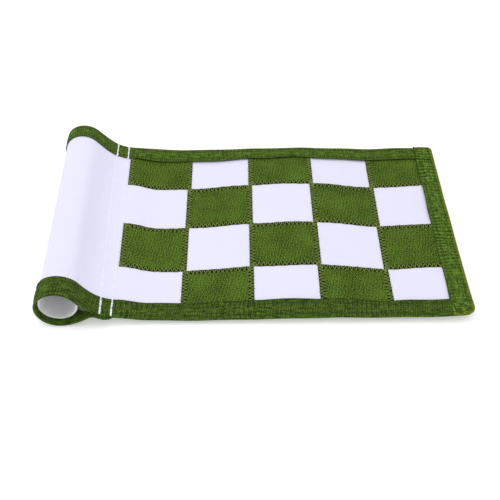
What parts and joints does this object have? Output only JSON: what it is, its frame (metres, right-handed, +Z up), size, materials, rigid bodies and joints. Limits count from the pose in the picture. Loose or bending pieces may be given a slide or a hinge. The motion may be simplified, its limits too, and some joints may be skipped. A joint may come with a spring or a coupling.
{
  "type": "golf practice-green flag",
  "caption": "Small checkered cloth golf flag with taped edges, lying flat, with a sewn pole sleeve that holds a plastic tube for a practice-green stick.",
  "frame": {"origin": "bottom centre of the flag's box, on the surface that it lies on", "axes": "+X from the sleeve to the fly edge, +Y along the sleeve, +Z up from the surface"},
  "size_m": [0.2473, 0.1524, 0.0263],
  "materials": {
    "white_nylon": "plain white nylon flag cloth, matte",
    "green_nylon": "grass green twill nylon, matte",
    "green_tape": "grass green woven binding tape",
    "white_plastic": "satin white extruded plastic",
    "white_thread": "heavy white lockstitch thread",
    "green_thread": "green polyester thread"
  },
  "bodies": {
    "sleeve": {"sleeve_cloth": "white_nylon", "near_loop_binding": "green_tape", "far_loop_binding": "green_tape", "sleeve_stitch_outer": "white_thread", "sleeve_stitch_inner": "white_thread", "near_loop_stitch_outer": "green_thread", "near_loop_stitch_inner": "green_thread", "far_loop_stitch_outer": "green_thread", "far_loop_stitch_inner": "green_thread"},
    "tube": {"insert_tube": "white_plastic"},
    "field": {"field_cloth": "white_nylon", "green_checker": "green_nylon", "near_field_binding": "green_tape", "far_field_binding": "green_tape", "fly_binding": "green_tape", "near_field_stitch_outer": "green_thread", "near_field_stitch_inner": "green_thread", "far_field_stitch_outer": "green_thread", "far_field_stitch_inner": "green_thread", "fly_stitch_outer": "green_thread", "fly_stitch_inner": "green_thread", "zigzag_column_1": "green_thread", "zigzag_column_2": "green_thread", "zigzag_column_3": "green_thread", "zigzag_column_4": "green_thread", "zigzag_row_1": "green_thread", "zigzag_row_2": "green_thread", "zigzag_row_3": "green_thread", "zigzag_seam_middle": "green_thread", "zigzag_seam_far": "green_thread"}
  },
  "joints": [
    {"name": "tube_slide", "type": "slide", "parent": "sleeve", "child": "tube", "axis": [-0.021, 0.9998, 0], "range_m": [-0.14, 0.14]},
    {"name": "field_fold", "type": "hinge", "parent": "sleeve", "child": "field", "pos_m": [-0.0791, 0, 0.00665], "axis": [0.021, -0.9998, 0], "range_deg": [0, 120]}
  ]
}
